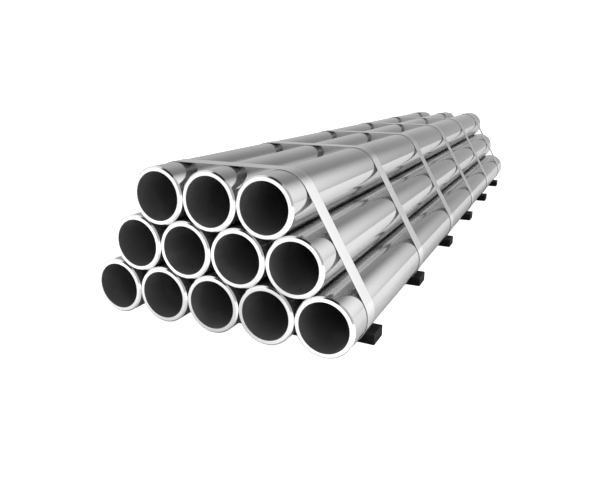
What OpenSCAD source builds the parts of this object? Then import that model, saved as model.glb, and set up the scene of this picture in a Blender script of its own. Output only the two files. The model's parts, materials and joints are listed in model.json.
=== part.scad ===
// A bundle of steel pipes: nested rows of bevelled pipe, bound by flat steel straps and lying on
// bearers. +Z is up and +Y runs along the pipes. The origin is on the floor, below the middle of
// the bundle, and the straps and bearers are counted from the front end, at -Y.

/* [Pipes] */
// Outer diameter of a pipe
pipe_od = 168.3; // [140:0.1:260]
// Wall thickness of a pipe
pipe_wall = 14.2; // [5:0.1:25]
// Length of every pipe
pipe_length = 3050; // [2400:10:12000]
// Leg of the chamfer around the outer edge of each pipe end
end_bevel = 4.4; // [0.5:0.1:4.5]
// Pipes in the bottom row, where each row above has one fewer
bottom_count = 5; // [3:1:8]
// Rows of pipes
row_count = 3; // [2:1:3]

/* [Straps] */
// Number of straps along the bundle, each with a seal
strap_count = 6; // [3:1:8]
// Width of a strap
strap_width = 55; // [20:1:70]
// Thickness of a strap
strap_thickness = 1.5; // [0.5:0.1:3]
// From the front end to the middle of the first strap
strap_front = 120; // [60:1:200]
// From the middle of the last strap to the back end
strap_back = 180; // [160:1:300]
// Length of the seal that closes a strap
seal_length = 60; // [30:1:75]
// Wall thickness of a seal
seal_wall = 1.6; // [0.8:0.1:3]
// How far a strap's free end stands out of its seal
free_end = 25; // [5:1:30]

/* [Bearers] */
// Width of a bearer along the pipes
bearer_width = 75; // [40:1:80]
// Height of a bearer
bearer_height = 36; // [20:1:100]
// From the outer side of an outer pipe in to a bearer's end
bearer_inset = 10; // [0:1:80]
// From the middle of a strap back to the middle of its bearer
bearer_offset = 85; // [80:1:110]
// The same at the first strap, whose bearer lies farther back
first_bearer_offset = 113; // [80:1:130]

/* [Fits] */
// Clearance between surfaces that touch
touch_gap = 0.3; // [0.1:0.1:0.6]

/* [Hidden] */
$fn = 128;
pipe_radius = pipe_od / 2;
pitch = pipe_od + touch_gap;
row_rise = pitch * sqrt(3) / 2;
front_end = -pipe_length / 2;
first_row_height = bearer_height + touch_gap + pipe_radius;
strap_pitch = (pipe_length - strap_front - strap_back) / (strap_count - 1);
bearer_length = (bottom_count - 1) * pitch + pipe_od - 2 * bearer_inset;
strap_inside = pipe_radius + touch_gap;
strap_outside = strap_inside + strap_thickness;

// Axes of the four corner pipes, seen from the front: bottom left, bottom right, top right, top left
bottom_reach = (bottom_count - 1) / 2 * pitch;
top_reach = (bottom_count - row_count) / 2 * pitch;
stack_rise = (row_count - 1) * row_rise;
corners = [[-bottom_reach, 0], [bottom_reach, 0], [top_reach, stack_rise], [-top_reach, stack_rise]];

// The stack leans in at 60 degrees. A strap's ends lap on the left side, where it crosses the gap
// between the two uppermost rows, and the seal sits around the lap.
side_slope = 60;
seal_place = (row_count - 1.5) * pitch;
lap_start = seal_place - seal_length / 2;
lap_length = seal_length + free_end;

row_names = row_count == 3 ? ["bottom", "middle", "top"] : ["bottom", "top"];

function pipe_name(row, place) = str(row_names[row], "_pipe_", place + 1);
function numbered(name, k) = str(name, "_", k + 1);
function strap_place(k) = front_end + strap_front + k * strap_pitch;
function bearer_place(k) = strap_place(k) + (k == 0 ? first_bearer_offset : bearer_offset);

// One pipe, turned about its axis, with both ends chamfered on the outside
module pipe(row, place) {
    x = (place - (bottom_count - row - 1) / 2) * pitch;
    z = first_row_height + row * row_rise;
    bore_radius = pipe_radius - pipe_wall;
    color("silver")
        translate([x, front_end, z])
            rotate([-90, 0, 0])
                rotate_extrude()
                    polygon([
                        [bore_radius, 0],
                        [pipe_radius - end_bevel, 0],
                        [pipe_radius, end_bevel],
                        [pipe_radius, pipe_length - end_bevel],
                        [pipe_radius - end_bevel, pipe_length],
                        [bore_radius, pipe_length]
                    ]);
}

// The outline of a band drawn tight at this distance from the axes of the four corner pipes
module band_outline(reach) {
    for (corner = corners) translate(corner) circle(reach);
    polygon([
        for (i = [0:3])
            let (
                from = corners[i],
                to = corners[(i + 1) % 4],
                along = (to - from) / norm(to - from),
                outward = [along[1], -along[0]]
            )
                each [from + reach * outward, to + reach * outward]
    ]);
}

// The strap's outer end, lapped over its inner end. It starts half a thickness deep in the band.
module lapped_end() {
    translate(corners[0])
        rotate(side_slope)
            translate([lap_start, strap_outside - strap_thickness / 2])
                square([lap_length, 1.5 * strap_thickness]);
}

// One strap: flat between the corner pipes, bent around each of them and lapped on the left side
module strap(k) {
    color("gainsboro")
        translate([0, strap_place(k) + strap_width / 2, first_row_height])
            rotate([90, 0, 0])
                linear_extrude(strap_width)
                    union() {
                        difference() {
                            band_outline(strap_outside);
                            band_outline(strap_inside);
                        }
                        lapped_end();
                    }
}

// One seal: a flat sleeve around both layers of the lap
module strap_seal(k) {
    slot = [2 * seal_length, strap_width + 2 * touch_gap, 2 * strap_thickness + 2 * touch_gap];
    sleeve = [seal_length, slot[1] + 2 * seal_wall, slot[2] + 2 * seal_wall];
    color("darkgray")
        translate([-bottom_reach, strap_place(k), first_row_height])
            rotate([0, -side_slope, 0])
                translate([seal_place, 0, strap_outside])
                    difference() {
                        cube(sleeve, center = true);
                        cube(slot, center = true);
                    }
}

// One bearer: a plain bar across the floor under the bottom row
module bearer(k) {
    color([0.15, 0.14, 0.13])
        translate([-bearer_length / 2, bearer_place(k) - bearer_width / 2, 0])
            cube([bearer_length, bearer_width, bearer_height]);
}

for (row = [0:row_count - 1], place = [0:bottom_count - row - 1])
    pipe(row, place);
for (k = [0:strap_count - 1]) {
    strap(k);
    strap_seal(k);
    bearer(k);
}
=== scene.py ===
"""A bundle of steel pipes, bound with flat straps and lying on bearers: its finish and its studio.

Every piece is a surface worked out over the fixed frame: a wall profile carried round an outline.
Lengths are in metres, +Z is up and +Y runs along the pipes from the front end to the back end.
"""

import json
import math

import bmesh
import bpy
import numpy as np
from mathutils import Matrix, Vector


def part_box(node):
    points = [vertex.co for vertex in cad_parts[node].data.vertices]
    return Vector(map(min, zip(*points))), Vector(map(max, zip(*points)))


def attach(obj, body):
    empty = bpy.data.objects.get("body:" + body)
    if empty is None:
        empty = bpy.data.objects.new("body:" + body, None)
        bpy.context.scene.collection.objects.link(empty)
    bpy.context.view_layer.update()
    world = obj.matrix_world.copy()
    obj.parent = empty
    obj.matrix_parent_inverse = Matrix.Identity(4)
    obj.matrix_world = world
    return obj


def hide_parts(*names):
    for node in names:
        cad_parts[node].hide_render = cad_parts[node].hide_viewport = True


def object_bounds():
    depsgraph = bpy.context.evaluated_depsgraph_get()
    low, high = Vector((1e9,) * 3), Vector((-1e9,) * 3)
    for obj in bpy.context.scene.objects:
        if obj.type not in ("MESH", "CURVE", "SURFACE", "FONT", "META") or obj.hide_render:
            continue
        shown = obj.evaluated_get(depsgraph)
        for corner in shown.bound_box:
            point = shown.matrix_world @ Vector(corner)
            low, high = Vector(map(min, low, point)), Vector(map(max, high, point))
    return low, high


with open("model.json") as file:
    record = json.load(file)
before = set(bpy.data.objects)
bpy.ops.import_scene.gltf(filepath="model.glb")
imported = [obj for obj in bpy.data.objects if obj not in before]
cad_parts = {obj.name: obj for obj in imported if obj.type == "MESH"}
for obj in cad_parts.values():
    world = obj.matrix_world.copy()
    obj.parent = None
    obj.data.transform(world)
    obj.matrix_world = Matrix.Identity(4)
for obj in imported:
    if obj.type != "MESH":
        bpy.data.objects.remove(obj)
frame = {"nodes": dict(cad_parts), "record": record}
cad_low, cad_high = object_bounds()

# ---------------------------------------------------------------- sizes that the frame doesn't say

EDGE_BREAK = 0.0004  # radius left on a sawn or machined steel edge
STRAP_EDGE = 0.0004  # radius left on a strap's sheared edge
BEVEL_LEG = 0.0044  # leg of the chamfer around a pipe's end
TOUCH_GAP = 0.0003  # clearance between surfaces that touch
SEAL_WALL = 0.0016  # sheet thickness of a seal
SEAL_FOLD = 0.0006  # radius inside a seal's folds
SEAL_EDGE = 0.0004  # radius left on a seal's cut edge
CRIMP_DEPTH = 0.0010  # how deep a seal's crimps are pressed
SEAM_DEPTH = 0.0008  # how deep the groove is where a seal's folds meet
FREE_END = 0.025  # how far a strap's free end stands out of its seal
FREE_END_SPRING = 0.0012  # how far the free end's tip springs off the band
BEARER_EDGE = 0.0025  # radius worn onto a bearer's long edges
BEARER_WAVE = 0.00012  # height of each of the long waves in a bearer's sawn faces
SIDE_SLOPE = math.radians(60)  # the lean of the stack's sides
PIPE_STEPS = 192  # points around a pipe
BEND_STEPS = 40  # steps around each of a strap's bends

nodes = frame["nodes"]
mounts = {mount["name"]: mount for mount in frame["record"]["mounts"]}
pipe_names = sorted(name for name in nodes if "_pipe_" in name)
strap_names = sorted(name for name in nodes if name.startswith("strap_") and "seal" not in name)
seal_names = sorted(name for name in nodes if name.startswith("strap_seal_"))
bearer_names = sorted(name for name in nodes if name.startswith("bearer_"))


# ---------------------------------------------------------------- shapes


def unit(vectors):
    """Each row divided by its length."""
    return vectors / np.linalg.norm(vectors, axis=-1, keepdims=True)


def rounded(corners, radius, steps, hold):
    """A closed outline with every corner rounded, as points, their outward normals and an edge mark.

    At a corner that turns by an angle t, the arc starts radius * tan(t / 2) before it. The arc's
    spokes swing from one side's normal to the other's, and hold adds one more point on each side,
    that far from the arc or a third of the flat away, so that the shading of the flats stays true.
    The edge mark is 1 on the arcs and 0 at the holds. The corners run anticlockwise.
    """
    corners = np.asarray(corners, float)
    radius = np.broadcast_to(np.asarray(radius, float), len(corners))[:, None]
    arriving = unit(corners - np.roll(corners, 1, axis=0))
    leaving = unit(np.roll(corners, -1, axis=0) - corners)
    turn = np.arccos(np.clip((arriving * leaving).sum(1), -1, 1))[:, None]
    reach = radius * np.tan(turn / 2)
    spoke_in = np.stack([arriving[:, 1], -arriving[:, 0]], 1)
    spoke_out = np.stack([leaving[:, 1], -leaving[:, 0]], 1)
    centre = corners - arriving * reach - spoke_in * radius
    swing = np.linspace(0, 1, steps + 1)[None, :, None]
    angle = turn[:, :, None]
    from_in = np.sin((1 - swing) * angle) * spoke_in[:, None]
    to_out = np.sin(swing * angle) * spoke_out[:, None]
    spokes = (from_in + to_out) / np.sin(angle)
    arc = centre[:, None] + spokes * radius[:, None]
    side = np.linalg.norm(np.roll(corners, -1, axis=0) - corners, axis=1, keepdims=True)
    flat = side - reach - np.roll(reach, -1, axis=0)
    ahead = np.minimum(hold, flat / 3)
    before = arc[:, :1] - (arriving * np.roll(ahead, 1, axis=0))[:, None]
    after = arc[:, -1:] + (leaving * ahead)[:, None]
    points = np.concatenate([before, arc, after], 1).reshape(-1, 2)
    normals = np.concatenate([spoke_in[:, None], spokes, spoke_out[:, None]], 1).reshape(-1, 2)
    mark = np.tile(np.r_[0.0, np.ones(steps + 1), 0.0], len(corners))
    return points, normals, mark


def filled(points, normals, mark, spacing):
    """The same closed outline with more points on its long flats, about spacing apart.

    Each step longer than spacing is cut into equal parts, found by the length run along it.
    """
    run = closed_lengths(points)
    parts = np.maximum(1, np.ceil(np.diff(run) / spacing)).astype(int)
    first = np.repeat(np.arange(len(points)), parts)
    share = (np.arange(parts.sum()) - np.repeat(np.cumsum(parts) - parts, parts)) / parts[first]
    second = (first + 1) % len(points)
    between = [values[first] * (1 - share)[:, None] + values[second] * share[:, None]
               for values in (points, normals, mark[:, None])]
    return between[0], unit(between[1]), between[2][:, 0]


def circle(radius, count):
    """A circle's points and outward normals, anticlockwise from the far side of the first axis."""
    angle = math.pi + np.arange(count) * 2 * math.pi / count
    normals = np.stack([np.cos(angle), np.sin(angle)], 1)
    return radius * normals, normals


def closed_lengths(points):
    """The length run along a closed outline up to each point, ending with the whole length."""
    steps = np.linalg.norm(np.roll(points, -1, axis=0) - points, axis=1)
    return np.concatenate([[0.0], np.cumsum(steps)])


def grid_mesh(name, grid, lengths, materials, bands=None, edge=None):
    """A piece from a grid of points that closes on itself both ways, like the skin of a ring.

    Face (i, j) joins points i and i + 1 of the outline with points j and j + 1 of the wall
    profile. Its UV map is the length run along the outline and along the profile, in metres.
    bands gives each profile step its material, and edge gives each profile point its edge mark.
    """
    rows, columns = grid.shape[:2]
    i, j = np.meshgrid(np.arange(rows), np.arange(columns), indexing="ij")
    ring = np.stack([i, i + 1, i + 1, i], -1)
    wall = np.stack([j, j, j + 1, j + 1], -1)
    corners = (ring % rows) * columns + wall % columns
    mesh = bpy.data.meshes.new(name)
    mesh.vertices.add(rows * columns)
    mesh.vertices.foreach_set("co", grid.astype(np.float32).ravel())
    mesh.loops.add(corners.size)
    mesh.loops.foreach_set("vertex_index", corners.astype(np.int32).ravel())
    mesh.polygons.add(rows * columns)
    mesh.polygons.foreach_set("loop_start", np.arange(0, corners.size, 4, dtype=np.int32))
    if bands is not None:
        mesh.polygons.foreach_set("material_index", np.tile(bands, rows).astype(np.int32))
    mesh.update(calc_edges=True)
    run = np.stack([lengths[0][ring], lengths[1][wall]], -1)
    mesh.uv_layers.new(name="run").data.foreach_set("uv", run.astype(np.float32).ravel())
    if edge is not None:
        mark_edges(mesh, np.tile(edge, rows))
    return finished(name, mesh, materials)


def mark_edges(mesh, marks):
    """Keeps how much of an edge each vertex lies on, for the finishes that rub bright there."""
    mesh.attributes.new("edge", "FLOAT", "POINT").data.foreach_set("value", marks.astype(np.float32))


def bar_rows(start, end, radius, spacing):
    """The rows of a bar with closed, rounded ends: their place along it, inset, scale and edge mark.

    Each end starts at its middle, spreads out flat and turns through a quarter circle into the side.
    """
    quarter = np.linspace(0, math.pi / 2, 5)
    flat_along, flat_scale = np.zeros(3), np.array([0.0, 0.5, 0.9])
    along = np.concatenate([flat_along, radius * (1 - np.cos(quarter)), [radius * 2]])
    inset = np.concatenate([np.full(3, radius), radius * (1 - np.sin(quarter)), [0.0]])
    scale = np.concatenate([flat_scale, np.ones(len(quarter) + 1)])
    mark = np.concatenate([np.zeros(3), np.ones(len(quarter)), [0.0]])
    count = max(2, int((end - start) / spacing))
    middle = np.linspace(start + 2 * radius, end - 2 * radius, count + 1)[1:-1]
    plain = np.zeros(len(middle))
    return (
        np.concatenate([start + along, middle, end - along[::-1]]),
        np.concatenate([inset, plain, inset[::-1]]),
        np.concatenate([scale, plain + 1, scale[::-1]]),
        np.concatenate([mark, plain, mark[::-1]]),
    )


def bar_mesh(name, section, rows, axes, origin, materials, shift=None):
    """A solid bar: a rounded section carried along a straight line, with its ends closed.

    A point is origin + scale * (section - inset * normal) in the plane of the first two axes, plus
    its place along the third. shift, where given, bends the finished grid.
    """
    points, normals, mark = section
    along, inset, scale, row_mark = rows
    middle = (points.max(0) + points.min(0)) / 2
    drawn_in = points[None] - inset[:, None, None] * normals[None]
    flat = (drawn_in - middle) * scale[:, None, None] + middle
    grid = origin + flat @ np.stack(axes[:2]) + along[:, None, None] * axes[2]
    if shift is not None:
        grid = shift(grid, along)
    count, columns = grid.shape[:2]
    i, j = np.meshgrid(np.arange(count - 1), np.arange(columns), indexing="ij")
    row = np.stack([i, i, i + 1, i + 1], -1)
    place = np.stack([j, j + 1, j + 1, j], -1)
    corners = row * columns + place % columns
    mesh = bpy.data.meshes.new(name)
    mesh.from_pydata(grid.reshape(-1, 3), [], corners.reshape(-1, 4))
    run = np.stack([closed_lengths(points)[place], along[row]], -1)
    mesh.uv_layers.new(name="run").data.foreach_set("uv", run.astype(np.float32).ravel())
    mark_edges(mesh, np.maximum(mark[None], row_mark[:, None]).ravel())
    shell = bmesh.new()
    shell.from_mesh(mesh)
    bmesh.ops.remove_doubles(shell, verts=shell.verts, dist=1e-6)
    shell.to_mesh(mesh)
    shell.free()
    return finished(name, mesh, materials)


def finished(name, mesh, materials):
    """Puts a mesh into the scene as a smooth piece that rides on the object's one body."""
    for material in materials:
        mesh.materials.append(material)
    mesh.shade_smooth()
    piece = bpy.data.objects.new(name, mesh)
    bpy.context.scene.collection.objects.link(piece)
    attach(piece, "root")
    return piece


def carried(outline, normals, profile, across, up, along, origin):
    """The grid of a wall profile carried round an outline.

    The outline lies in the plane of across and up. A profile point (out, run) stands out from the
    outline by out, along its normal, and goes run in the direction of along. The three directions
    are right-handed and both outlines run anticlockwise, which turns the faces outward.
    """
    plane = np.stack([across, up])
    spine = outline @ plane
    outward = (normals @ plane)[:, None] * profile[None, :, :1]
    return origin + spine[:, None] + outward + along * profile[None, :, 1:]


X, Y, Z = np.eye(3)


# ---------------------------------------------------------------- node groups shared by the finishes


def socket(tree, kind, name, default=None, into=True):
    """Adds a named input or output to a node group."""
    made = tree.interface.new_socket(name, in_out="INPUT" if into else "OUTPUT", socket_type=kind)
    if default is not None:
        made.default_value = default
    return made


class Nodes:
    """A short way to add and join the nodes of one tree."""

    def __init__(self, tree):
        self.tree = tree

    def add(self, kind, **values):
        """A node, with its inputs set by name or place and its other settings by keyword."""
        node = self.tree.nodes.new(kind)
        for key, value in values.get("settings", {}).items():
            setattr(node, key, value)
        for key, value in values.get("inputs", {}).items():
            target = node.inputs[key]
            if isinstance(value, bpy.types.NodeSocket):
                self.tree.links.new(value, target)
            else:
                target.default_value = value
        return node

    def math(self, operation, *values):
        """One Math node's output."""
        settings = {"operation": operation}
        inputs = dict(enumerate(values))
        return self.add("ShaderNodeMath", settings=settings, inputs=inputs).outputs[0]

    def spread(self, value, low, high, to_low=0.0, to_high=1.0, smooth=False):
        """A value carried from one range to another and kept inside it."""
        settings = {"interpolation_type": "SMOOTHSTEP" if smooth else "LINEAR", "clamp": True}
        inputs = {0: value, 1: low, 2: high, 3: to_low, 4: to_high}
        return self.add("ShaderNodeMapRange", settings=settings, inputs=inputs).outputs[0]

    def mix(self, factor, first, second):
        """Two colours mixed by a factor."""
        inputs = {0: factor, 6: first, 7: second}
        return self.add("ShaderNodeMix", settings={"data_type": "RGBA"}, inputs=inputs).outputs[2]


def drawn_lines_group():
    """Fine lines left by rolling and drawing: noise squeezed across the run and long along it.

    It puts out lines, a value around 0.5, and scratches, a mask of a few long thin marks.
    """
    tree = bpy.data.node_groups.new("drawn_lines", "ShaderNodeTree")
    socket(tree, "NodeSocketVector", "Place")
    socket(tree, "NodeSocketFloat", "Across", 900.0)
    socket(tree, "NodeSocketFloat", "Along", 3.0)
    socket(tree, "NodeSocketFloat", "Lines", into=False)
    socket(tree, "NodeSocketFloat", "Scratches", into=False)
    n = Nodes(tree)
    entry, leave = n.add("NodeGroupInput").outputs, n.add("NodeGroupOutput").inputs
    paces = {0: entry["Across"], 1: entry["Along"], 2: 0.0}
    stretch = n.add("ShaderNodeCombineXYZ", inputs=paces).outputs[0]
    place = n.add(
        "ShaderNodeVectorMath",
        settings={"operation": "MULTIPLY"},
        inputs={0: entry["Place"], 1: stretch},
    ).outputs[0]
    fine = n.add(
        "ShaderNodeTexNoise",
        inputs={"Vector": place, "Scale": 1.0, "Detail": 4.0, "Roughness": 0.6},
    )
    rare = n.add(
        "ShaderNodeTexNoise",
        inputs={"Vector": place, "Scale": 0.35, "Detail": 1.0, "Roughness": 0.4},
    )
    tree.links.new(fine.outputs["Fac"], leave["Lines"])
    tree.links.new(n.spread(rare.outputs["Fac"], 0.68, 0.74), leave["Scratches"])
    return tree


def handling_group():
    """Soft marks of handling: cloudy smears and a scatter of small specks, both as masks."""
    tree = bpy.data.node_groups.new("handling_marks", "ShaderNodeTree")
    socket(tree, "NodeSocketVector", "Place")
    socket(tree, "NodeSocketFloat", "Size", 4.0)
    socket(tree, "NodeSocketFloat", "Smears", into=False)
    socket(tree, "NodeSocketFloat", "Specks", into=False)
    n = Nodes(tree)
    entry, leave = n.add("NodeGroupInput").outputs, n.add("NodeGroupOutput").inputs
    cloud = n.add(
        "ShaderNodeTexNoise",
        inputs={
            "Vector": entry["Place"],
            "Scale": entry["Size"],
            "Detail": 5.0,
            "Roughness": 0.55,
            "Distortion": 0.6,
        },
    )
    fine_scale = n.math("MULTIPLY", entry["Size"], 60.0)
    speck = n.add("ShaderNodeTexVoronoi", inputs={"Vector": entry["Place"], "Scale": fine_scale})
    tree.links.new(n.spread(cloud.outputs["Fac"], 0.42, 0.72, smooth=True), leave["Smears"])
    tree.links.new(n.spread(speck.outputs["Distance"], 0.16, 0.06), leave["Specks"])
    return tree


def rubbed_edges_group():
    """Wear along edges, as a mask: amount * edge mark * a texture carried from low..high to 0..1."""
    tree = bpy.data.node_groups.new("rubbed_edges", "ShaderNodeTree")
    socket(tree, "NodeSocketFloat", "Edge")
    socket(tree, "NodeSocketFloat", "Texture", 0.5)
    socket(tree, "NodeSocketFloat", "Low", 0.35)
    socket(tree, "NodeSocketFloat", "High", 0.65)
    socket(tree, "NodeSocketFloat", "Amount", 0.5)
    socket(tree, "NodeSocketFloat", "Rubbed", into=False)
    n = Nodes(tree)
    entry, leave = n.add("NodeGroupInput").outputs, n.add("NodeGroupOutput").inputs
    broken = n.spread(entry["Texture"], entry["Low"], entry["High"])
    worn = n.math("MULTIPLY", entry["Edge"], broken)
    tree.links.new(n.math("MULTIPLY", worn, entry["Amount"]), leave["Rubbed"])
    return tree


DRAWN_LINES = drawn_lines_group()
HANDLING = handling_group()
RUBBED_EDGES = rubbed_edges_group()


# ---------------------------------------------------------------- finishes


def new_material(name):
    """A material with an empty tree, its Principled shader and its node helper."""
    material = bpy.data.materials.new(name)
    material.use_nodes = True
    tree = material.node_tree
    tree.nodes.clear()
    n = Nodes(tree)
    shader = n.add("ShaderNodeBsdfPrincipled")
    out = n.add("ShaderNodeOutputMaterial")
    tree.links.new(shader.outputs[0], out.inputs["Surface"])
    return material, n, shader


def placed(n, group, **inputs):
    """A shared node group placed in a material with its own values."""
    return n.add("ShaderNodeGroup", settings={"node_tree": group}, inputs=inputs).outputs


def grey(tone):
    """A neutral colour of this tone."""
    return (tone, tone, tone, 1)


def relief(n, shader, height, strength, distance):
    """Fine relief from a height: bump of this strength, as if the height were this many metres."""
    inputs = {"Strength": strength, "Distance": distance, "Height": height}
    n.tree.links.new(n.add("ShaderNodeBump", inputs=inputs).outputs[0], shader.inputs["Normal"])


def polished_steel():
    """A pipe's outside: bright rolled steel with long faint lines, scratches and soft smears."""
    material, n, shader = new_material("polished_steel")
    run = n.add("ShaderNodeUVMap", settings={"uv_map": "run"}).outputs[0]
    place = n.add("ShaderNodeTexCoord").outputs["Object"]
    lines = placed(n, DRAWN_LINES, Place=run, Across=1400.0, Along=1.2)
    marks = placed(n, HANDLING, Place=place, Size=3.5)
    tone = n.mix(n.spread(lines["Lines"], 0.25, 0.75), grey(0.44), grey(0.49))
    tone = n.mix(n.math("MULTIPLY", marks["Smears"], 0.3), tone, grey(0.40))
    n.tree.links.new(tone, shader.inputs["Base Color"])
    shader.inputs["Metallic"].default_value = 0.9
    rough = n.math("MULTIPLY_ADD", marks["Smears"], 0.05, 0.09)
    rough = n.math("MULTIPLY_ADD", lines["Scratches"], 0.12, rough)
    n.tree.links.new(rough, shader.inputs["Roughness"])
    height = n.math("SUBTRACT", lines["Lines"], lines["Scratches"])
    relief(n, shader, height, strength=0.06, distance=0.0002)
    return material


def bore_scale():
    """A pipe's inside: dark mill scale, dull and slightly mottled."""
    material, n, shader = new_material("bore_scale")
    place = n.add("ShaderNodeTexCoord").outputs["Object"]
    marks = placed(n, HANDLING, Place=place, Size=9.0)
    tone = n.mix(marks["Smears"], grey(0.064), grey(0.092))
    tone = n.mix(n.math("MULTIPLY", marks["Specks"], 0.3), tone, grey(0.13))
    n.tree.links.new(tone, shader.inputs["Base Color"])
    shader.inputs["Metallic"].default_value = 0.0
    shader.inputs["Specular IOR Level"].default_value = 0.35
    n.tree.links.new(n.spread(marks["Smears"], 0.0, 1.0, 0.5, 0.62), shader.inputs["Roughness"])
    relief(n, shader, marks["Smears"], strength=0.25, distance=0.0004)
    return material


def machined_steel():
    """A pipe's cut end and its chamfer: bare bright steel with the rings of the facing tool."""
    material, n, shader = new_material("machined_steel")
    run = n.add("ShaderNodeUVMap", settings={"uv_map": "run"}).outputs[0]
    rings = placed(n, DRAWN_LINES, Place=run, Across=1.5, Along=2600.0)
    tone = n.mix(n.spread(rings["Lines"], 0.3, 0.7), grey(0.64), grey(0.72))
    n.tree.links.new(tone, shader.inputs["Base Color"])
    shader.inputs["Metallic"].default_value = 1.0
    n.tree.links.new(n.spread(rings["Lines"], 0.2, 0.8, 0.1, 0.2), shader.inputs["Roughness"])
    relief(n, shader, rings["Lines"], strength=0.05, distance=0.0002)
    return material


def strap_steel(name, tones, roughness, worn):
    """Rolled strip: fine lines along its length, soft smears, and edges worn to a tone."""
    material, n, shader = new_material(name)
    run = n.add("ShaderNodeUVMap", settings={"uv_map": "run"}).outputs[0]
    place = n.add("ShaderNodeTexCoord").outputs["Object"]
    lines = placed(n, DRAWN_LINES, Place=run, Across=4.0, Along=2200.0)
    marks = placed(n, HANDLING, Place=place, Size=7.0)
    edge = n.add("ShaderNodeAttribute", settings={"attribute_name": "edge"}).outputs["Fac"]
    tone = n.mix(n.spread(lines["Lines"], 0.25, 0.75), grey(tones[0]), grey(tones[1]))
    broken = {"Texture": lines["Lines"], "Low": 0.1, "High": 0.5}
    wear = placed(n, RUBBED_EDGES, Edge=edge, Amount=0.55, **broken)
    tone = n.mix(wear["Rubbed"], tone, grey(worn))
    n.tree.links.new(tone, shader.inputs["Base Color"])
    shader.inputs["Metallic"].default_value = 0.95
    rough = n.math("MULTIPLY_ADD", marks["Smears"], 0.05, roughness)
    n.tree.links.new(rough, shader.inputs["Roughness"])
    relief(n, shader, lines["Lines"], strength=0.1, distance=0.0002)
    return material


def black_timber():
    """A bearer: softwood stained black, with its grain along X, saw marks across and rubbed edges."""
    material, n, shader = new_material("black_timber")
    place = n.add("ShaderNodeTexCoord").outputs["Object"]
    along_x = {"Vector": place, "Scale": (6.0, 130.0, 130.0)}
    stretch = n.add("ShaderNodeMapping", inputs=along_x).outputs[0]
    fibres = {"Vector": stretch, "Scale": 1.0, "Detail": 5.0, "Roughness": 0.6, "Distortion": 0.4}
    grain = n.add("ShaderNodeTexNoise", inputs=fibres).outputs["Fac"]
    saw = n.add(
        "ShaderNodeTexWave",
        settings={"bands_direction": "X"},
        inputs={"Vector": place, "Scale": 55.0, "Distortion": 1.5, "Detail": 2.0},
    ).outputs["Fac"]
    marks = placed(n, HANDLING, Place=place, Size=14.0)
    edge = n.add("ShaderNodeAttribute", settings={"attribute_name": "edge"}).outputs["Fac"]
    tone = n.mix(n.spread(grain, 0.3, 0.7), grey(0.004), grey(0.008))
    tone = n.mix(n.math("MULTIPLY", marks["Smears"], 0.25), tone, grey(0.014))
    wear = placed(n, RUBBED_EDGES, Edge=edge, Texture=grain, Low=0.35, High=0.65, Amount=0.5)
    tone = n.mix(wear["Rubbed"], tone, grey(0.035))
    n.tree.links.new(tone, shader.inputs["Base Color"])
    n.tree.links.new(n.spread(grain, 0.0, 1.0, 0.55, 0.75), shader.inputs["Roughness"])
    shader.inputs["Specular IOR Level"].default_value = 0.12
    height = n.math("MULTIPLY_ADD", saw, 0.35, grain)
    relief(n, shader, height, strength=0.5, distance=0.0008)
    return material


# ---------------------------------------------------------------- the pieces


def make_pipe(name, steel, scale, machined):
    """One pipe: its wall profile turned about its axis.

    The profile goes out along the front face, over the chamfer, along the outside, over the back
    chamfer, in along the back face and home through the bore.
    """
    mount = mounts[name + "_bore"]
    low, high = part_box(name)
    radius = pipe_radius()
    wall = radius - mount["dims"]["r_mm"] / 1000
    front, back = low[1], high[1]
    axis = np.array([mount["pos_m"][0], 0.0, mount["pos_m"][2]])
    corners = [
        (-wall, front),
        (-wall, back),
        (-BEVEL_LEG, back),
        (0.0, back - BEVEL_LEG),
        (0.0, front + BEVEL_LEG),
        (-BEVEL_LEG, front),
    ][::-1]
    profile, _, edge = rounded(corners, EDGE_BREAK, steps=3, hold=0.0012)
    middle = profile[:, 0] + np.roll(profile[:, 0], -1)
    inside = middle < -1.9 * wall
    outside = middle > -1e-6
    bands = np.where(inside, 1, np.where(outside, 0, 2))
    outline, normals = circle(radius, PIPE_STEPS)
    grid = carried(outline, normals, profile, Z, X, Y, axis)
    lengths = closed_lengths(outline), closed_lengths(profile)
    piece = grid_mesh(name + "_body", grid, lengths, [steel, scale, machined], bands, edge)
    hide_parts(name)


def band_corners(reach):
    """The sharp corners of a band's outline at this distance from the corner pipes' axes."""
    axes = np.array([mounts[name + "_bore"]["pos_m"] for name in pipe_names])[:, [0, 2]]
    low, high = axes[:, 1].min(), axes[:, 1].max()
    foot = axes[axes[:, 1] < low + 1e-4][:, 0].max()
    bottom = foot + reach * math.tan(SIDE_SLOPE)
    height = high - low + 2 * reach
    top = bottom - height / math.tan(SIDE_SLOPE)
    floor, ceiling = low - reach, high + reach
    return np.array([(-bottom, floor), (bottom, floor), (top, ceiling), (-top, ceiling)])


def strap_thickness(name):
    """A strap's thickness, from how far its box stands above and below the tight outline."""
    low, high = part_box(name)
    corners = band_corners(pipe_radius() + TOUCH_GAP)
    return (high[2] - low[2] - (corners[2, 1] - corners[0, 1])) / 2


def pipe_radius():
    """A pipe's outer radius."""
    low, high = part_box(pipe_names[0])
    return (high[0] - low[0]) / 2


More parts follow.
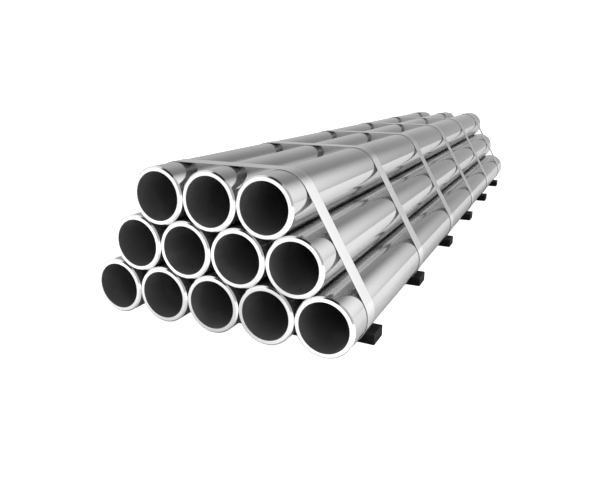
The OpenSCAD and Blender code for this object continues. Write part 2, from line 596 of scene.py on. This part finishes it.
def make_strap(name, steel, painted_shade_underside):
    """One strap: a flat section with sheared edges, carried round the stack's tight outline.

    Its outer face is bright, and its edges and inner face take a darker copy of it: painted shade.
    """
    low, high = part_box(name)
    inside = pipe_radius() + TOUCH_GAP
    thickness = strap_thickness(name)
    bends = band_corners(inside)[::-1, ::-1]
    outline, normals, _ = rounded(bends, inside, BEND_STEPS, hold=0.002)
    corners = [(0.0, high[1]), (0.0, low[1]), (thickness, low[1]), (thickness, high[1])]
    profile, _, edge = rounded(corners, STRAP_EDGE, steps=4, hold=0.0015)
    grid = carried(outline, normals, profile, Z, X, Y, np.zeros(3))
    lengths = closed_lengths(outline), closed_lengths(profile)
    lower = np.minimum(profile[:, 0], np.roll(profile[:, 0], -1))
    # Painted shade: the edges and the inner face take the darker copy of the strapping.
    bands = np.where(lower < thickness - 1e-6, 1, 0)
    piece = grid_mesh(name + "_band", grid, lengths, [steel, painted_shade_underside], bands, edge)
    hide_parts(name)
    make_free_end(name, steel, (low[1], high[1]), thickness)


def left_side():
    """The left side's own axes: up the slope, outward, and the slope's foot on the stack."""
    up = X * math.cos(SIDE_SLOPE) + Z * math.sin(SIDE_SLOPE)
    outward = Z * math.cos(SIDE_SLOPE) - X * math.sin(SIDE_SLOPE)
    foot = mounts["bottom_pipe_1_bore"]["pos_m"]
    return up, outward, np.array([foot[0], 0.0, foot[2]])


def seal_reach(name):
    """Where a seal starts and ends along the slope, from its box."""
    up, _, foot = left_side()
    low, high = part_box(name)
    middle = ((np.array(low) + np.array(high)) / 2 - foot) @ up
    rise = high[2] - low[2]
    depth = 2 * (strap_thickness(name.replace("_seal", "")) + TOUCH_GAP + SEAL_WALL)
    length = (rise - depth * math.cos(SIDE_SLOPE)) / math.sin(SIDE_SLOPE)
    return middle - length / 2, middle + length / 2


def make_free_end(name, steel, sides, thickness):
    """A strap's outer end, lapped over the band, with its sheared tip sprung a little way off it."""
    up, outward, foot = left_side()
    start, end = seal_reach(name.replace("strap", "strap_seal"))
    base = pipe_radius() + TOUCH_GAP + thickness
    left, right = sides
    top = base + thickness
    corners = [(left, base), (right, base), (right, top), (left, top)]
    section = rounded(corners, STRAP_EDGE, steps=4, hold=0.0015)

    def sprung(grid, along):
        """The part beyond the seal bends outward by the square of how far out it is."""
        beyond = np.clip((along - end) / FREE_END, 0, 1)
        return grid + FREE_END_SPRING * (beyond**2)[:, None, None] * outward

    rows = bar_rows(start + 0.002, end + FREE_END, EDGE_BREAK, spacing=0.003)
    piece = bar_mesh(name + "_free_end", section, rows, (Y, outward, up), foot, [steel], sprung)


def make_seal(name, steel):
    """One seal: folded sheet carried round both layers of the lap, with crimps pressed across it.

    A crimp presses the outer face in by its depth times exp(-((run - place) / width) ** 2), and
    the narrow groove where the two folds meet runs down the middle in the same way.
    """
    up, outward, foot = left_side()
    start, end = seal_reach(name)
    low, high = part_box(name)
    middle = (low[1] + high[1]) / 2
    half = (high[1] - low[1]) / 2 - SEAL_WALL
    thickness = strap_thickness(name.replace("_seal", ""))
    floor = pipe_radius()
    top = floor + 2 * thickness + 2 * TOUCH_GAP
    corners = [(-half, floor), (half, floor), (half, top), (-half, top)]
    outline, normals, _ = filled(*rounded(corners, SEAL_FOLD, steps=4, hold=0.0008), spacing=0.0011)
    corners = [(0.0, end), (0.0, start), (SEAL_WALL, start), (SEAL_WALL, end)]
    profile, _, edge = filled(*rounded(corners, SEAL_EDGE, steps=3, hold=0.0008), spacing=0.0012)
    grid = carried(outline, normals, profile, Y, outward, up, foot + Y * middle)
    across = ((grid - foot) @ Y - middle) / half
    run = ((grid - foot) @ up - start) / (end - start)
    outer = np.clip((profile[:, 0] / SEAL_WALL)[None] * np.clip(normals[:, 1:], 0, 1), 0, 1)
    crimp_width, seam_width = 0.035, 0.03
    crimps = sum(np.exp(-(((run - place) / crimp_width) ** 2)) for place in (0.2, 0.4, 0.6, 0.8))
    crimps *= 1 - np.clip((np.abs(across) - 0.7) / 0.2, 0, 1)
    seam = np.exp(-((across / seam_width) ** 2)) * (1 - np.clip(crimps, 0, 1))
    depth = CRIMP_DEPTH * crimps + SEAM_DEPTH * seam
    grid = grid - (depth * outer)[..., None] * outward
    lengths = closed_lengths(outline), closed_lengths(profile)
    piece = grid_mesh(name + "_sleeve", grid, lengths, [steel], edge=edge)
    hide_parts(name)


def make_bearer(name, timber, seed):
    """One bearer: a sawn bar with rubbed edges, whose faces wander inward by up to 0.7 mm.

    The wander is a sum of a few long waves along the bar, each with its own phase for every side,
    and it fades to nothing over the 10 mm beside the bar's middle, where one side meets the next.
    """
    low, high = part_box(name)
    corners = [(low[1], low[2]), (high[1], low[2]), (high[1], high[2]), (low[1], high[2])]
    section = filled(*rounded(corners, BEARER_EDGE, steps=5, hold=0.003), spacing=0.006)
    rows = bar_rows(low[0], high[0], BEARER_EDGE * 0.7, spacing=0.012)
    paces = (19.0, 41.0, 87.0)
    fade = 0.01
    phases = np.random.default_rng(seed).uniform(0, 2 * math.pi, (len(paces), 4))
    middle = np.array([(low[1] + high[1]) / 2, (low[2] + high[2]) / 2])

    def wander(grid, along):
        """Moves each point towards the bar's middle by the waves of its own side."""
        away = grid[..., 1:] - middle
        waves = sum(np.sin(along[:, None] * pace + row) for pace, row in zip(paces, phases))
        depth = BEARER_WAVE * (len(paces) + waves)
        side = np.where(away > 0, depth[:, None, 0::2], depth[:, None, 1::2])
        moved = grid.copy()
        moved[..., 1:] -= side * np.sign(away) * np.minimum(1, np.abs(away) / fade)
        return moved

    piece = bar_mesh(name + "_bar", section, rows, (Y, Z, X), np.zeros(3), [timber], wander)
    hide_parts(name)


steel = polished_steel()
scale = bore_scale()
machined = machined_steel()
banding = strap_steel("rolled_strapping", (0.58, 0.64), roughness=0.14, worn=0.84)
# A darker copy of the strapping: the painted shade on the straps' edges and inner faces.
painted_shade_underside = strap_steel("strapping_underside", (0.28, 0.33), roughness=0.25, worn=0.3)
crimped = strap_steel("seal_sheet", (0.40, 0.50), roughness=0.28, worn=0.78)
timber = black_timber()
for pipe_name in pipe_names:
    make_pipe(pipe_name, steel, scale, machined)
for strap_name in strap_names:
    make_strap(strap_name, banding, painted_shade_underside)
for seal_name in seal_names:
    make_seal(seal_name, crimped)
for number, bearer_name in enumerate(bearer_names):
    make_bearer(bearer_name, timber, number)


# ---------------------------------------------------------------- the studio


def studio_floor():
    """A white floor at the level that the bearers stand on: plain to the camera, painted light and
    shade in the steel.

    Under the white that the camera sees, its colour is painted light and shade for the steel to
    reflect.
    It rises from dim to pale with x / (y + 2.2 m), and about a fifth as fast with -x, so it is pale
    on the right and dim behind the bundle. It is multiplied by a smaller tone under and close beside
    the bundle, a painted shadow where little light gets to it. A painted glow in front of the ends,
    though the floor is no lamp, makes up for the light that the bundle keeps from the floor there.
    """
    half = 40.0
    corners = [(-half, -half, 0.0), (half, -half, 0.0), (half, half, 0.0), (-half, half, 0.0)]
    mesh = bpy.data.meshes.new("studio_floor")
    mesh.from_pydata(corners, [], [(0, 1, 2, 3)])
    floor = bpy.data.objects.new("studio_floor", mesh)
    bpy.context.scene.collection.objects.link(floor)
    material, n, shader = new_material("white_floor")
    # Painted light and shade: dim and pale bound the colour's run from behind the bundle to the
    # right, and under is the tone of the painted shadow beside the bundle.
    dim, pale, under = 0.40, 0.93, 0.60
    spot = n.add("ShaderNodeTexCoord").outputs["Object"]
    place = n.add("ShaderNodeSeparateXYZ", inputs={0: spot}).outputs
    behind = n.math("MAXIMUM", n.math("ADD", place["Y"], 2.2), 0.05)
    aside = n.math("DIVIDE", place["X"], behind)
    right = n.spread(aside, 0.05, 0.42, dim, pale)
    left = n.spread(aside, -0.05, -2.0, dim, pale)
    painted_floor_shading = n.math("MAXIMUM", right, left)
    # Painted shadow: along the bundle, the colour drops to the under tone beneath it and close beside
    # it.
    beside = n.spread(n.math("ABSOLUTE", place["X"]), 0.40, 0.66, under, 1.0)
    past_ends = n.spread(n.math("ABSOLUTE", place["Y"]), 1.48, 1.56)
    tone = n.math("MULTIPLY", painted_floor_shading, n.math("MAXIMUM", beside, past_ends))
    n.tree.links.new(tone, shader.inputs["Base Color"])
    shader.inputs["Roughness"].default_value = 0.9
    shader.inputs["Specular IOR Level"].default_value = 0.0
    seen = n.add("ShaderNodeLightPath").outputs["Is Camera Ray"]
    shader.inputs["Emission Color"].default_value = (1, 1, 1, 1)
    # Painted light: in front of the ends the floor glows for every ray, though it is no lamp.
    in_front, near = n.spread(place["Y"], -1.50, -1.56), n.spread(place["Y"], -3.2, -2.0)
    glow = n.math("MULTIPLY", n.math("MULTIPLY", in_front, near), 0.5)
    strength = n.math("ADD", seen, glow)
    n.tree.links.new(strength, shader.inputs["Emission Strength"])
    mesh.materials.append(material)


def patch(n, direction, heading, rise, outer, inner=0):
    """A round patch of the sky: 1 within the inner angle of its middle, and 0 past the outer one.

    It is worked out from the cosine between the direction and the middle. The heading turns from +Y
    to +X, the rise is up from the horizon, and every angle is in degrees.
    """
    h, r = math.radians(heading), math.radians(rise)
    middle = (math.sin(h) * math.cos(r), math.cos(h) * math.cos(r), math.sin(r))
    settings = {"operation": "DOT_PRODUCT"}
    near = n.add("ShaderNodeVectorMath", settings=settings, inputs={0: direction, 1: middle})
    edge, full = math.cos(math.radians(outer)), math.cos(math.radians(inner))
    return n.spread(near.outputs["Value"], edge, full, smooth=True)


def studio_light():
    """Soft light from all round, plain white to the camera.

    It is brighter at a wide panel behind on the right and at another in front on the left, dimmer in
    a patch above the first, and dark in one spot high up in front. Its level is 0.60 all round, plus
    1.88 of the panel, less 0.34 of the shade, plus 0.80 of the front, times 1 less 0.97 of the dark.
    """
    world = bpy.data.worlds.new("studio_light")
    bpy.context.scene.world = world
    world.use_nodes = True
    world.node_tree.nodes.clear()
    n = Nodes(world.node_tree)
    direction = n.add("ShaderNodeTexCoord").outputs["Generated"]
    panel = patch(n, direction, 50, 25, outer=42)
    shade = patch(n, direction, 26, 41, outer=48)
    front = patch(n, direction, 215, 5, outer=75, inner=45)
    dark = patch(n, direction, 180, 62, outer=24, inner=19)
    level = n.math("MULTIPLY_ADD", panel, 1.88, 0.60)
    level = n.math("MULTIPLY_ADD", shade, -0.34, level)
    level = n.math("MULTIPLY_ADD", front, 0.80, level)
    level = n.math("MULTIPLY", level, n.math("MULTIPLY_ADD", dark, -0.97, 1.0))
    seen = n.add("ShaderNodeLightPath").outputs["Is Camera Ray"]
    level = n.math("MAXIMUM", level, n.math("MULTIPLY", seen, 1.05))
    background = n.add("ShaderNodeBackground", inputs={"Color": level, "Strength": 1.0})
    out = n.add("ShaderNodeOutputWorld")
    n.tree.links.new(background.outputs[0], out.inputs["Surface"])


def overhead_light():
    """Light from the whole of the ceiling, for dull surfaces only: no lamp shows in the steel."""
    lamp = bpy.data.lights.new("overhead_light", "SUN")
    lamp.angle = math.radians(150)
    lamp.energy = 2.7
    light = bpy.data.objects.new("overhead_light", lamp)
    light.rotation_euler = (0.0, math.radians(12), 0.0)
    light.visible_glossy = False
    bpy.context.scene.collection.objects.link(light)


def studio_camera():
    """The camera, to the right of the front end and a little above the stack."""
    lens = bpy.data.cameras.new("studio_camera")
    lens.sensor_width = 36.0
    lens.lens = 33.39
    lens.shift_x = 0.0198
    lens.shift_y = -0.008
    lens.clip_start = 0.05
    lens.clip_end = 200.0
    camera = bpy.data.objects.new("studio_camera", lens)
    camera.location = (0.8334, cad_low[1] - 1.1893, 0.7230)
    camera.rotation_euler = (math.radians(90 - 15.60), 0.0, math.radians(26.60))
    bpy.context.scene.collection.objects.link(camera)
    bpy.context.scene.camera = camera


studio_floor()
studio_light()
overhead_light()
studio_camera()
bpy.context.scene.view_settings.view_transform = "Standard"
